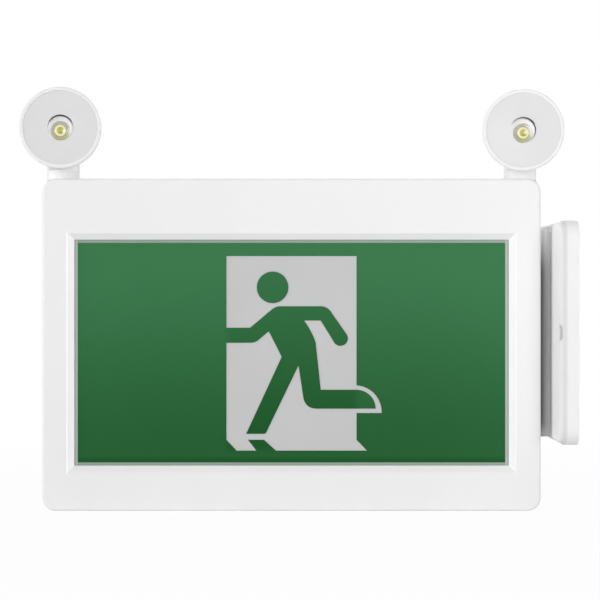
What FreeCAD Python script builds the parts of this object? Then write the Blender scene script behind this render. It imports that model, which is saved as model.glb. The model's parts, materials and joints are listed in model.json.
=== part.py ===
import FreeCAD, Part
import os
import types
import Sketcher

# Emergency exit light: sign with a running-man legend, two lamp heads, side canopy.
# X to the right, Y into the sign (the front faces -Y), Z up, millimetres.

SIZES = [
    # legend, with the window and the sign's borders that follow round it
    ("legend_width", 292.0),
    ("legend_height", 150.0),
    ("legend_thick", 0.3),
    ("legend_side_margin", 2.35),
    ("legend_end_margin", 2.15),
    ("side_border", 21.65),
    ("top_border", 41.5),
    ("window_sill", 30.7),
    # sign outline
    ("sign_depth", 52.0),
    ("sign_corner", 9.0),
    ("front_rounding", 1.8),
    ("back_rounding", 2.0),
    # front frame
    ("frame_depth", 9.0),
    ("frame_wall", 2.4),
    ("face_thick", 3.6),
    ("bevel_width", 4.2),
    ("bevel_depth", 2.8),
    ("rail_thick", 1.6),
    ("rail_height", 4.0),
    # rear housing
    ("housing_wall", 2.4),
    ("lip_thick", 1.4),
    ("lip_height", 3.4),
    ("lip_clearance", 0.3),
    ("screw_inset", 52.0),
    ("screw_low", 15.0),
    ("screw_drop", 20.5),
    ("post_radius", 4.2),
    ("keyhole_spacing", 150.0),
    ("keyhole_height", 168.0),
    ("keyhole_radius", 4.5),
    ("keyhole_slot_radius", 2.3),
    ("keyhole_rise", 9.0),
    ("entry_radius", 11.0),
    ("entry_rim", 2.0),
    ("entry_flange", 1.2),
    ("entry_wall", 1.4),
    # panel and light box
    ("panel_margin", 2.2),
    ("panel_thick", 2.0),
    ("panel_clearance", 0.3),
    ("box_depth", 15.0),
    ("box_wall", 1.2),
    ("strip_width", 10.0),
    ("strip_thick", 1.2),
    ("strip_clearance", 2.0),
    ("chip_size", 3.5),
    ("chip_height", 0.8),
    ("chip_pitch", 34.0),
    # screws
    ("screw_head_radius", 3.0),
    ("screw_head_height", 2.2),
    ("screw_shank_radius", 1.4),
    ("screw_clearance", 0.3),
    ("screw_sunk", 6.0),
    ("screw_bite", 4.8),
    # board and its parts
    ("board_width", 120.0),
    ("board_height", 64.0),
    ("board_thick", 1.6),
    ("board_standoff", 5.0),
    ("board_left", 20.0),
    ("board_base", 40.0),
    ("standoff_radius", 2.6),
    ("standoff_inset", 6.0),
    ("transformer_left", 12.0),
    ("transformer_base", 22.0),
    ("transformer_width", 34.0),
    ("transformer_height", 28.0),
    ("transformer_rise", 15.0),
    ("transformer_corner", 2.0),
    ("capacitor_radius", 5.0),
    ("capacitor_rise", 13.0),
    ("capacitor_pitch", 14.0),
    ("input_pair_left", 62.0),
    ("input_pair_base", 12.0),
    ("output_pair_left", 84.0),
    ("output_pair_base", 46.0),
    ("relay_left", 54.0),
    ("relay_base", 40.0),
    ("relay_width", 19.0),
    ("relay_height", 15.0),
    ("relay_rise", 11.0),
    ("relay_edge", 0.8),
    ("terminal_left", 14.0),
    ("terminal_base", 6.0),
    ("terminal_width", 30.0),
    ("terminal_height", 10.0),
    ("terminal_rise", 9.0),
    ("terminal_hole_radius", 2.2),
    ("terminal_hole_depth", 5.0),
    ("plug_left", 92.0),
    ("plug_base", 12.0),
    ("plug_width", 12.0),
    ("plug_height", 7.0),
    ("plug_rise", 8.0),
    ("plug_edge", 0.6),
    # battery
    ("cell_radius", 11.0),
    ("cell_length", 43.0),
    ("cell_web", 8.0),
    ("battery_left", 118.0),
    ("battery_base", 46.0),
    ("strap_width", 9.0),
    ("strap_thick", 0.8),
    ("strap_foot", 9.0),
    # test button, switch and pilot lens
    ("button_x", 60.0),
    ("button_y", 8.0),
    ("button_radius", 3.9),
    ("button_flange", 5.6),
    ("button_flange_thick", 1.2),
    ("button_flange_gap", 0.1),
    ("button_edge", 0.5),
    ("button_waist", 1.2),
    ("button_recess", 0.6),
    ("button_rise", 7.0),
    ("button_travel", 1.5),
    ("button_clearance", 0.3),
    ("switch_width", 12.8),
    ("switch_depth", 6.5),
    ("switch_height", 6.5),
    ("switch_gap", 0.3),
    ("switch_leg", 1.2),
    ("lens_offset", 18.0),
    ("lens_radius", 2.5),
    ("lens_length", 6.0),
    ("lens_shy", 0.3),
    ("lens_edge", 0.4),
    ("lens_rim", 0.8),
    ("lens_rim_thick", 1.0),
    # necks
    ("neck_inset", 11.2),
    ("neck_y", -4.0),
    ("neck_radius", 11.2),
    ("neck_base", 6.6),
    ("neck_bridge", 9.0),
    ("neck_tube_radius", 7.0),
    ("neck_tube_bore", 4.6),
    ("neck_tube_length", 20.0),
    ("neck_seat_depth", 14.0),
    ("pan_clearance", 0.3),
    ("pan_gap", 0.2),
    ("clip_radius", 8.6),
    ("clip_thick", 3.0),
    ("ear_radius", 5.6),
    ("ear_thick", 3.4),
    ("ear_gap", 0.3),
    ("lug_radius", 5.4),
    ("pin_radius", 2.0),
    ("pin_clearance", 0.3),
    ("pin_head_radius", 3.8),
    ("pin_head_height", 1.6),
    ("pin_head_edge", 0.5),
    ("pin_sunk", 1.8),
    # heads
    ("tilt_rise", 34.4),
    ("left_tilt", 0.0),
    ("right_tilt", 4.0),
    ("left_pan", 4.0),
    ("right_pan", -2.9),
    ("head_radius", 27.65),
    ("head_reach", 26.0),
    ("head_back", 10.0),
    ("head_back_radius", 10.5),
    ("head_bowl_round", 20.0),
    ("head_band_slope", 1.4),
    ("head_band_lip", 2.0),
    ("head_rim_depth", 4.0),
    ("head_rim_width", 2.4),
    ("head_rim_edge", 0.7),
    ("head_wall", 2.0),
    ("head_ledge", 1.4),
    ("head_throat_flare", 3.0),
    ("head_throat_run", 1.6),
    ("dish_clearance", 0.05),
    ("dish_recess", 0.4),
    ("dish_flat", 0.8),
    ("dish_fall", 1.0),
    ("dish_thick", 1.2),
    ("eye_radius", 8.75),
    ("eye_collar", 1.0),
    ("eye_depth", 7.2),
    ("lamp_drop", 0.6),
    ("lamp_board_radius", 10.5),
    ("lamp_board_thick", 1.6),
    ("lamp_base_radius", 6.4),
    ("lamp_base_height", 1.0),
    ("lamp_dome_radius", 4.3),
    ("lamp_dome_rise", 1.9),
    ("lamp_dome_edge", 1.1),
    # canopy
    ("canopy_gap", 8.0),
    ("canopy_depth", 12.6),
    ("canopy_height", 150.0),
    ("canopy_width", 112.0),
    ("canopy_corner", 11.0),
    ("canopy_shoulder", 4.6),
    ("canopy_wall", 2.0),
    ("canopy_middle", 122.0),
    ("release_height", 11.0),
    ("release_width", 5.0),
    ("release_corner", 2.4),
    ("release_inset", 1.0),
    ("release_depth", 3.0),
    ("plate_thick", 1.5),
    ("plate_margin", 1.0),
    ("box_hole_spacing", 83.3),
    ("box_hole_radius", 2.4),
    ("box_slot_spacing", 66.0),
    ("box_slot_length", 12.0),
    ("stem_radius", 8.0),
    ("stem_bore", 5.5),
    ("stem_clearance", 0.3),
    ("stem_flange_radius", 13.0),
    ("stem_flange_thick", 2.0),
    ("spacer_depth", 40.0),
    ("spacer_height", 144.0),
    ("spacer_corner", 3.0),
    ("nut_radius", 12.0),
    ("nut_thick", 4.0),
    ("stem_overrun", 3.0),
]


class Size:
    """A length with its number and the sheet expression that gives it."""

    def __init__(self, text, value):
        self.text = text
        self.value = value

    def join(self, other, sign, value, swapped=False):
        text = other.text if isinstance(other, Size) else repr(float(other))
        pair = (text, self.text) if swapped else (self.text, text)
        return Size("(%s %s %s)" % (pair[0], sign, pair[1]), value)

    def __add__(self, other):
        return self.join(other, "+", self.value + number(other))

    def __radd__(self, other):
        return self.join(other, "+", number(other) + self.value, True)

    def __sub__(self, other):
        return self.join(other, "-", self.value - number(other))

    def __rsub__(self, other):
        return self.join(other, "-", number(other) - self.value, True)

    def __mul__(self, other):
        return self.join(other, "*", self.value * number(other))

    def __rmul__(self, other):
        return self.join(other, "*", number(other) * self.value, True)

    def __truediv__(self, other):
        return self.join(other, "/", self.value / number(other))

    def __neg__(self):
        return Size("(-1.0 * %s)" % self.text, -self.value)


def number(size):
    return size.value if isinstance(size, Size) else float(size)


doc = FreeCAD.newDocument("exit_light")
sheet = doc.addObject("Spreadsheet::Sheet", "Sizes")
s = types.SimpleNamespace()
for row, (name, value) in enumerate(SIZES, 1):
    sheet.set("A%d" % row, name)
    sheet.set("B%d" % row, repr(value))
    sheet.setAlias("B%d" % row, name)
    setattr(s, name, Size("Sizes." + name, value))
doc.recompute()

pieces = []


def bind(thing, path, size):
    if isinstance(size, Size):
        thing.setExpression(path, size.text)


def written(size):
    """A size as it stands in an expression."""
    return size.text if isinstance(size, Size) else repr(float(size))


def place(thing, x=0.0, y=0.0, z=0.0, tilt=0.0, pan=0.0):
    """Puts a piece at a point, tilted about X and then panned about Z."""
    thing.Placement = FreeCAD.Placement(
        FreeCAD.Vector(number(x), number(y), number(z)),
        FreeCAD.Rotation(number(pan), 0, number(tilt)),
    )
    spot = "vector(%s; %s; %s)" % (written(x), written(y), written(z))
    turn = "rotation(%s; 0; %s)" % (written(pan), written(tilt))
    thing.setExpression("Placement", "placement(%s; %s)" % (spot, turn))


def pin_down(sketch, geometry, end, x, y):
    """Holds one point of a sketch at its two coordinates."""
    for kind, axis, coordinate in (("DistanceX", -2, x), ("DistanceY", -1, y)):
        if not isinstance(coordinate, Size) and coordinate == 0:
            sketch.addConstraint(Sketcher.Constraint("PointOnObject", geometry, end, axis))
            continue
        index = sketch.addConstraint(
            Sketcher.Constraint(kind, -1, 1, geometry, end, number(coordinate))
        )
        bind(sketch, "Constraints[%d]" % index, coordinate)


def arc_between(start, end, radius):
    """A turn from start to end, with its bulge on the right of the way if radius is positive."""
    a = FreeCAD.Vector(start[0], start[1], 0)
    b = FreeCAD.Vector(end[0], end[1], 0)
    chord = b - a
    right = FreeCAD.Vector(chord.y, -chord.x, 0).normalize()
    size = abs(radius)
    reach = (size * size - chord.Length * chord.Length / 4) ** 0.5
    centre = (a + b) * 0.5 - right * (reach if radius > 0 else -reach)
    first, last = (a, b) if radius > 0 else (b, a)
    x_axis = FreeCAD.Vector(1, 0, 0)
    from_angle = x_axis.getAngle(first - centre) * (1 if (first - centre).y >= 0 else -1)
    to_angle = x_axis.getAngle(last - centre) * (1 if (last - centre).y >= 0 else -1)
    circle = Part.Circle(centre, FreeCAD.Vector(0, 0, 1), size)
    return Part.ArcOfCircle(circle, from_angle, to_angle)


def draw_outline(sketch, points):
    """A closed outline. A point with a third value is reached by an arc of that radius."""
    first = sketch.GeometryCount
    ends = []
    count = len(points)
    for i, point in enumerate(points):
        after = points[(i + 1) % count]
        start = (number(point[0]), number(point[1]))
        end = (number(after[0]), number(after[1]))
        if len(after) == 3:
            index = sketch.addGeometry(arc_between(start, end, number(after[2])))
            ends.append((1, 2) if number(after[2]) > 0 else (2, 1))
            radius = abs(number(after[2]))
            held = sketch.addConstraint(Sketcher.Constraint("Radius", index, radius))
            if isinstance(after[2], Size):
                size = after[2] if number(after[2]) > 0 else -after[2]
                bind(sketch, "Constraints[%d]" % held, size)
        else:
            line = Part.LineSegment(FreeCAD.Vector(*start, 0), FreeCAD.Vector(*end, 0))
            sketch.addGeometry(line)
            ends.append((1, 2))
    for i, point in enumerate(points):
        before = (i - 1) % count
        join = Sketcher.Constraint(
            "Coincident", first + before, ends[before][1], first + i, ends[i][0]
        )
        sketch.addConstraint(join)
        pin_down(sketch, first + i, ends[i][0], point[0], point[1])


def draw_circle(sketch, x, y, radius):
    circle = Part.Circle(
        FreeCAD.Vector(number(x), number(y), 0), FreeCAD.Vector(0, 0, 1), number(radius)
    )
    index = sketch.addGeometry(circle)
    pin_down(sketch, index, 3, x, y)
    held = sketch.addConstraint(Sketcher.Constraint("Radius", index, number(radius)))
    bind(sketch, "Constraints[%d]" % held, radius)


def rectangle(x0, x1, y0, y1):
    return [(x0, y0), (x1, y0), (x1, y1), (x0, y1)]


def centred(width, height, x=0.0, y=0.0):
    return rectangle(x - width / 2, x + width / 2, y - height / 2, y + height / 2)


def rounded(width, height, corner, x=0.0, y=0.0):
    """A centred rectangle with round corners."""
    left, right = x - width / 2, x + width / 2
    low, high = y - height / 2, y + height / 2
    return [
        (left, low + corner),
        (left + corner, low, corner),
        (right - corner, low),
        (right, low + corner, corner),
        (right, high - corner),
        (right - corner, high, corner),
        (left + corner, high),
        (left, high - corner, corner),
    ]


class Moulding:
    """A body built up and cut back in its own frame."""

    def __init__(self, label, x=0.0, y=0.0, z=0.0, tilt=0.0, pan=0.0):
        self.body = doc.addObject("PartDesign::Body", "body_" + label)
        self.body.Label = label
        place(self.body, x, y, z, tilt, pan)
        self.planes = {f.Role: f for f in self.body.Origin.OriginFeatures}
        self.count = 0
        pieces.append(self.body)

    def new(self, kind, what):
        self.count += 1
        name = "%s_%s_%d" % (self.body.Label, what, self.count)
        return self.body.newObject(kind, name)

    def sketch(self, plane, level, loops):
        """Loops are outlines (lists of points) or circles (x, y, radius)."""
        sketch = self.new("Sketcher::SketchObject", "sketch")
        sketch.AttachmentSupport = [(self.planes[plane + "_Plane"], "")]
        sketch.MapMode = "FlatFace"
        offset = -level if plane == "XZ" else level
        sketch.AttachmentOffset = FreeCAD.Placement(
            FreeCAD.Vector(0, 0, number(offset)), FreeCAD.Rotation()
        )
        bind(sketch, "AttachmentOffset.Base.z", offset)
        for loop in loops:
            if isinstance(loop, tuple):
                draw_circle(sketch, *loop)
            else:
                draw_outline(sketch, loop)
        return sketch

    def add(self, plane, start, end, *loops):
        """Adds the loops as a slab from start to end across the plane."""
        sketch = self.sketch(plane, end if plane == "XZ" else start, loops)
        pad = self.new("PartDesign::Pad", "pad")
        pad.Profile = sketch
        pad.Length = number(end) - number(start)
        bind(pad, "Length", end - start)
        return self

    def cut(self, plane, start, end, *loops):
        """Cuts the loops away from start to end across the plane."""
        sketch = self.sketch(plane, start if plane == "XZ" else end, loops)
        pocket = self.new("PartDesign::Pocket", "pocket")
        pocket.Profile = sketch
        pocket.Length = number(end) - number(start)
        bind(pocket, "Length", end - start)
        return self

    def turn(self, axis, profile):
        """Turns a profile of (along, radius) points about an axis of the body."""
        if axis == "Z":
            sketch = self.sketch("XZ", 0.0, [[(p[1], p[0]) + tuple(p[2:]) for p in profile]])
        elif axis == "Y":
            sketch = self.sketch("YZ", 0.0, [profile])
        else:
            sketch = self.sketch("XZ", 0.0, [profile])
        turned = self.new("PartDesign::Revolution", "revolution")
        turned.Profile = sketch
        turned.ReferenceAxis = (sketch, ["V_Axis" if axis == "Z" else "H_Axis"])
        turned.Angle = 360.0
        return self

    def funnel(self, plane, sections):
        """Cuts a loft through (level, outline) sections away."""
        sketches = [self.sketch(plane, level, [loop]) for level, loop in sections]
        loft = self.new("PartDesign::SubtractiveLoft", "loft")
        loft.Profile = sketches[0]
        loft.Sections = sketches[1:]
        loft.Ruled = True
        return self

    def soften(self, radius, chosen, kind="Fillet"):
        """Rounds or bevels the edges for which chosen is true."""
        doc.recompute()
        tip = self.body.Tip
        names = [
            "Edge%d" % i for i, e in enumerate(tip.Shape.Edges, 1) if chosen(e)
        ]
        edge = self.new("PartDesign::" + kind, kind.lower())
        edge.Base = (tip, names)
        path = "Radius" if kind == "Fillet" else "Size"
        setattr(edge, path, number(radius))
        bind(edge, path, radius)
        return self


def along(edge, direction):
    """Whether a straight edge runs along x, y or z."""
    if edge.Curve.TypeId != "Part::GeomLine":
        return False
    way = edge.Vertexes[1].Point - edge.Vertexes[0].Point
    way.normalize()
    return abs(abs(getattr(way, direction)) - 1) < 1e-6


def near(value, target):
    return abs(value - number(target)) < 1e-4


def flat_at(edge, direction, level):
    """Whether the whole edge lies at one level."""
    box = edge.BoundBox
    low = getattr(box, direction.upper() + "Min")
    high = getattr(box, direction.upper() + "Max")
    return near(low, level) and near(high, level)


def cylinder(axis, x, y, z, radius, length):
    """A plain round bar that starts at a point and runs along +axis or -axis."""
    bar = doc.addObject("Part::Cylinder", "bar")
    turns = {
        "x": "vector(0; 1; 0); 90",
        "-x": "vector(0; 1; 0); -90",
        "y": "vector(1; 0; 0); -90",
        "-y": "vector(1; 0; 0); 90",
        "z": "vector(1; 0; 0); 0",
        "-z": "vector(1; 0; 0); 180",
    }
    for path, size in (("Radius", radius), ("Height", length)):
        setattr(bar, path, number(size))
        bind(bar, path, size)
    spot = "vector(%s; %s; %s)" % (written(x), written(y), written(z))
    bar.setExpression("Placement", "placement(%s; rotation(%s))" % (spot, turns[axis]))
    return bar


def joined(label, parts):
    """Separate solids, or one made of several, kept as one piece."""
    piece = doc.addObject("Part::Compound", "group_" + label)
    piece.Links = parts
    piece.Label = label
    pieces.append(piece)
    return piece


def screw(axis, x, y, z, head_radius, head_height, shank_radius, shank_length):
    """A screw whose head starts at the point and whose shank goes on from it."""
    head = cylinder(axis, x, y, z, head_radius, head_height)
    shank = cylinder(axis, x, y, z, shank_radius, head_height + shank_length)
    whole = doc.addObject("Part::Fuse", "screw")
    whole.Base = head
    whole.Tool = shank
    return whole


# Levels and outlines that the pieces share.
nought = Size("0.0", 0.0)
window_width = s.legend_width + 2 * s.legend_side_margin
window_height = s.legend_height + 2 * s.legend_end_margin
sign_width = window_width + 2 * s.side_border
sign_height = window_height + s.top_border + s.window_sill
front = -s.sign_depth / 2
back = s.sign_depth / 2
side = sign_width / 2
top = sign_height
seam = front + s.frame_depth
face_back = front + s.face_thick
window_middle = s.window_sill + window_height / 2
mid_height = sign_height / 2
panel_width = window_width + 2 * s.panel_margin
panel_height = window_height + 2 * s.panel_margin
panel_back = face_back + s.panel_thick
box_back = panel_back + s.box_depth
rail_room_x = panel_width + 2 * s.panel_clearance
rail_room_z = panel_height + 2 * s.panel_clearance
inner_back = back - s.housing_wall
inner_floor = s.housing_wall
screw_places = [
    (direction * (side - s.screw_inset), height)
    for direction in (-1.0, 1.0)
    for height in (s.screw_low, top - s.screw_drop)
]
neck_x = side - s.neck_inset
canopy_face = side + s.canopy_gap
wall_plane = canopy_face + s.canopy_depth

# Front frame: a shallow cap with a bevelled window, panel rails and screw bosses.
frame = Moulding("front_frame")
sign_outline = rounded(sign_width, sign_height, s.sign_corner, 0.0, mid_height)
frame.add("XZ", front, seam, sign_outline)
frame.soften(s.front_rounding, lambda e: flat_at(e, "y", front))
inner_width = sign_width - 2 * s.frame_wall
inner_height = sign_height - 2 * s.frame_wall
inner_corner = s.sign_corner - s.frame_wall
inner_outline = rounded(inner_width, inner_height, inner_corner, 0.0, mid_height)
frame.cut("XZ", face_back, seam, inner_outline)
bevel_width = window_width + 2 * s.bevel_width
bevel_height = window_height + 2 * s.bevel_width
bevel_outline = centred(bevel_width, bevel_height, 0.0, window_middle)
window_outline = centred(window_width, window_height, 0.0, window_middle)
frame.funnel("XZ", [(front, bevel_outline), (front + s.bevel_depth, window_outline)])
frame.cut("XZ", front, face_back, window_outline)
rail_width = rail_room_x + 2 * s.rail_thick
rail_height = rail_room_z + 2 * s.rail_thick
rail_outer = centred(rail_width, rail_height, 0.0, window_middle)
rail_inner = centred(rail_room_x, rail_room_z, 0.0, window_middle)
frame.add("XZ", face_back, face_back + s.rail_height, rail_outer, rail_inner)
frame.add("XZ", face_back, seam, *[(x, z, s.post_radius) for x, z in screw_places])
shaft = s.screw_shank_radius + s.screw_clearance
frame.cut("XZ", face_back, seam, *[(x, z, shaft) for x, z in screw_places])

# Rear housing: a tray with a tongue into the frame, head seats and screw posts.
housing = Moulding("rear_housing")
housing.add("XZ", seam, back, sign_outline)
housing.soften(s.back_rounding, lambda e: flat_at(e, "y", back))
hollow_width = sign_width - 2 * s.housing_wall
hollow_height = sign_height - 2 * s.housing_wall
hollow_corner = s.sign_corner - s.housing_wall
hollow_outline = rounded(hollow_width, hollow_height, hollow_corner, 0.0, mid_height)
housing.cut("XZ", seam, inner_back, hollow_outline)
lip_out = s.frame_wall + s.lip_clearance
lip_in = lip_out + s.lip_thick
root_thick = lip_in - s.housing_wall
long_side = sign_width - 2 * s.sign_corner
short_side = sign_height - 2 * s.sign_corner
for direction in (-1.0, 1.0):
    # A tongue along the top and the bottom, rooted on the wall and inside the frame's wall.
    level = mid_height + direction * (mid_height - lip_in + s.lip_thick / 2)
    root_level = mid_height + direction * (mid_height - lip_in + root_thick / 2)
    root = centred(long_side, root_thick, 0.0, root_level)
    tongue = centred(long_side, s.lip_thick, 0.0, level)
    housing.add("XZ", seam, seam + s.lip_height, root)
    housing.add("XZ", seam - s.lip_height, seam, tongue)
    # And one along each side.
    across = direction * (side - lip_in + s.lip_thick / 2)
    root_across = direction * (side - lip_in + root_thick / 2)
    root = centred(root_thick, short_side, root_across, mid_height)
    tongue = centred(s.lip_thick, short_side, across, mid_height)
    housing.add("XZ", seam, seam + s.lip_height, root)
    housing.add("XZ", seam - s.lip_height, seam, tongue)
seat_low = top - s.neck_seat_depth
seat_bore = s.neck_tube_radius + s.pan_clearance
for direction in (-1.0, 1.0):
    housing.add("XY", seat_low, top, (direction * neck_x, s.neck_y, s.neck_radius))
for direction in (-1.0, 1.0):
    housing.cut("XY", seat_low, top, (direction * neck_x, s.neck_y, seat_bore))
housing.add("XZ", seam, inner_back, *[(x, z, s.post_radius) for x, z in screw_places])
housing.cut("XZ", seam, back, *[(x, z, shaft) for x, z in screw_places])
sunk = s.screw_head_radius + s.screw_clearance
housing.cut("XZ", back - s.screw_sunk, back, *[(x, z, sunk) for x, z in screw_places])
slot_width = 2 * s.keyhole_slot_radius
slot_middle = s.keyhole_height + s.keyhole_rise / 2
slot_top = s.keyhole_height + s.keyhole_rise
for direction in (-1.0, 1.0):
    # Keyholes for hanging on two wall screws.
    x = direction * s.keyhole_spacing / 2
    housing.cut("XZ", inner_back, back, (x, s.keyhole_height, s.keyhole_radius))
    housing.cut("XZ", inner_back, back, centred(slot_width, s.keyhole_rise, x, slot_middle))
    housing.cut("XZ", inner_back, back, (x, slot_top, s.keyhole_slot_radius))
housing.cut("XZ", inner_back, back, (0.0, s.canopy_middle, s.entry_radius))
stem_hole = (0.0, s.canopy_middle, s.stem_radius + s.stem_clearance)
housing.cut("YZ", side - s.housing_wall, side, stem_hole)
button_bore = s.button_radius + s.button_clearance
lens_x = s.button_x + s.lens_offset
lens_bore = s.lens_radius + s.button_clearance
housing.cut("XY", nought, inner_floor, (s.button_x, s.button_y, button_bore))
housing.cut("XY", nought, inner_floor, (lens_x, s.button_y, lens_bore))
board_right = s.board_left + s.board_width
board_top = s.board_base + s.board_height
board_back = inner_back - s.board_standoff
standoffs = [
    (x, z, s.standoff_radius)
    for x in (s.board_left + s.standoff_inset, board_right - s.standoff_inset)
    for z in (s.board_base + s.standoff_inset, board_top - s.standoff_inset)
]
housing.add("XZ", board_back, inner_back, *standoffs)

# Plug in the unused wire entry.
plug = Moulding("entry_plug", 0.0, back, s.canopy_middle)
rim = s.entry_radius + s.entry_rim
fit = s.entry_radius - s.lip_clearance
flange_front = -s.housing_wall - s.entry_flange
plug.turn(
    "Y",
    [
        (-s.housing_wall, 0.0),
        (flange_front, 0.0),
        (flange_front, rim),
        (-s.housing_wall, rim),
        (-s.housing_wall, fit),
        (-s.lip_clearance, fit),
        (-s.lip_clearance, fit - s.entry_wall),
        (-s.housing_wall, fit - s.entry_wall),
    ],
)

# Legend sheet: green field, with the door, the way round the figure and its head left clear.
# The picture is drawn for a legend 150 high and follows the legend's height.
picture = s.legend_height / 150.0
PICTURE = [
    (-44.5, 66.0),
    (-44.5, 17.0),
    (-28.3, 17.0),
    (-14.4, 28.7),
    (-9.1, 31.7, -12.0),
    (20.8, 31.7),
    (27.9, 26.5, -9.0),
    (38.0, 12.1),
    (29.6, 6.3, -5.15),
    (20.0, 21.9),
    (8.6, 21.9),
    (16.5, 6.9, -50.0),
    (20.0, -25.4),
    (44.5, -25.4),
    (57.5, -38.3, -13.0),
    (16.5, -38.3),
    (8.1, -30.5, -8.5),
    (4.8, -8.8),
    (-17.2, -54.4),
    (-18.8, -55.5, -2.0),
    (-31.0, -55.5),
    (-6.7, -2.9),
    (-15.5, 14.6),
    (-22.6, 8.6),
    (-27.5, 6.7, -8.0),
    (-44.5, 6.7),
    (-44.5, -59.6),
    (-37.5, -67.0),
    (-24.0, -67.0),
    (-29.7, -59.6),
    (-18.8, -59.6),
    (-10.7, -67.0),
    (51.6, -67.0),
    (44.5, -59.6),
    (44.5, -41.3),
    (61.6, -41.3),
    (44.5, -22.4, 18.2),
    (44.5, 66.0),
]
legend = Moulding("legend_sheet", 0.0, face_back, window_middle)
clear = [tuple(value * picture for value in point) for point in PICTURE]
legend.add("XZ", -s.legend_thick, nought, centred(s.legend_width, s.legend_height), clear)
head_x = -12.9 * picture
head_z = window_middle + 44.6 * picture
spot = Moulding("legend_head", head_x, face_back, head_z)
spot.add("XZ", -s.legend_thick, nought, (0.0, 0.0, 10.8 * picture))

# Panel behind the legend, held between the rails.
panel = Moulding("diffuser_panel")
panel.add("XZ", face_back, panel_back, centred(panel_width, panel_height, 0.0, window_middle))

# Light box: an open tray of white sheet with a strip of lamps along its top and bottom.
box = Moulding("light_box")
box.add("XZ", panel_back, box_back, centred(panel_width, panel_height, 0.0, window_middle))
tray_width = panel_width - 2 * s.box_wall
tray_height = panel_height - 2 * s.box_wall
tray_outline = centred(tray_width, tray_height, 0.0, window_middle)
box.cut("XZ", panel_back, box_back - s.box_wall, tray_outline)
strip_length = tray_width - 2 * s.strip_clearance
strip_middle = panel_back + (s.box_depth - s.box_wall) / 2
chip_steps = int(number((strip_length / 2 - s.chip_size) / s.chip_pitch))
chips = [
    centred(s.chip_size, s.chip_size, step * s.chip_pitch, 0.0)
    for step in range(-chip_steps, chip_steps + 1)
]
chip_top = s.strip_thick + s.chip_height
for name, direction in (("upper_lamp_strip", 1.0), ("lower_lamp_strip", -1.0)):
    level = window_middle + direction * (tray_height / 2)
    strip = Moulding(name, 0.0, strip_middle, level)
    board_outline = centred(strip_length, s.strip_width)
    if direction > 0:
        strip.add("XY", -s.strip_thick, nought, board_outline)
        strip.add("XY", -chip_top, -s.strip_thick, *chips)
    else:
        strip.add("XY", nought, s.strip_thick, board_outline)
        strip.add("XY", s.strip_thick, chip_top, *chips)

# Control board with its parts.
board = Moulding("control_board")
board_front = board_back - s.board_thick
board_outline = rectangle(s.board_left, board_right, s.board_base, board_top)
board.add("XZ", board_front, board_back, board_outline)


def on_board(label, left, base, width, height, rise):
    """A block on the board's front, placed from the board's lower left corner."""
    piece = Moulding(label)
    x = s.board_left + left
    z = s.board_base + base
    piece.add("XZ", board_front - rise, board_front, rectangle(x, x + width, z, z + height))
    return piece


core = on_board(
    "transformer",
    s.transformer_left,
    s.transformer_base,
    s.transformer_width,
    s.transformer_height,
    s.transformer_rise,
)
core.soften(s.transformer_corner, lambda e: along(e, "y"))
relay = on_board(
    "relay", s.relay_left, s.relay_base, s.relay_width, s.relay_height, s.relay_rise
)
relay.soften(s.relay_edge, lambda e: flat_at(e, "y", board_front - s.relay_rise))
terminal = on_board(
    "terminal_block",
    s.terminal_left,
    s.terminal_base,
    s.terminal_width,
    s.terminal_height,
    s.terminal_rise,
)
terminal_x = s.board_left + s.terminal_left
terminal_z = s.board_base + s.terminal_base + s.terminal_height / 2
wire_holes = [
    (terminal_x + s.terminal_width * share, terminal_z, s.terminal_hole_radius)
    for share in (1 / 6, 1 / 2, 5 / 6)
]
terminal_front = board_front - s.terminal_rise
terminal.cut("XZ", terminal_front, terminal_front + s.terminal_hole_depth, *wire_holes)
socket = on_board(
    "battery_socket", s.plug_left, s.plug_base, s.plug_width, s.plug_height, s.plug_rise
)
socket.soften(s.plug_edge, lambda e: flat_at(e, "y", board_front - s.plug_rise))
pairs = (
    (s.input_pair_left, s.input_pair_base),
    (s.output_pair_left, s.output_pair_base),
)
cans = []
for left, base in pairs:
    for step in (0.0, 1.0):
        x = s.board_left + left + step * s.capacitor_pitch
        z = s.board_base + base
        cans.append(cylinder("-y", x, board_front, z, s.capacitor_radius, s.capacitor_rise))
joined("board_capacitors", cans)

# Battery: three cells in one sleeve, held to the back wall by a strap.
battery_depth = 2 * s.cell_radius
battery_middle = inner_back - s.cell_radius
battery = Moulding("battery_pack", -s.battery_left, 0.0, s.battery_base)
cells_height = 6 * s.cell_radius
for step in (1, 3, 5):
    cell = (battery_middle, step * s.cell_radius, s.cell_radius)
    battery.add("YZ", nought, s.cell_length, cell)
sleeve = rectangle(
    battery_middle - s.cell_web / 2,
    battery_middle + s.cell_web / 2,
    s.cell_radius,
    cells_height - s.cell_radius,
)
battery.add("YZ", nought, s.cell_length, sleeve)
strap_x = -s.battery_left + s.cell_length / 2 - s.strap_width / 2
strap = Moulding("battery_strap", strap_x, 0.0, s.battery_base)
strap_gap = s.lip_clearance
strap_inner = inner_back - battery_depth - strap_gap
strap_outer = strap_inner - s.strap_thick
foot_front = inner_back - s.strap_thick
low = -strap_gap
high = cells_height + strap_gap
strap.add(
    "YZ",
    nought,
    s.strap_width,
    [
        (strap_outer, low - s.strap_thick),
        (foot_front, low - s.strap_thick),
        (foot_front, low - s.strap_foot),
        (inner_back, low - s.strap_foot),
        (inner_back, low),
        (strap_inner, low),
        (strap_inner, high),
        (inner_back, high),
        (inner_back, high + s.strap_foot),
        (foot_front, high + s.strap_foot),
        (foot_front, high + s.strap_thick),
        (strap_outer, high + s.strap_thick),
    ],
)

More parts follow.
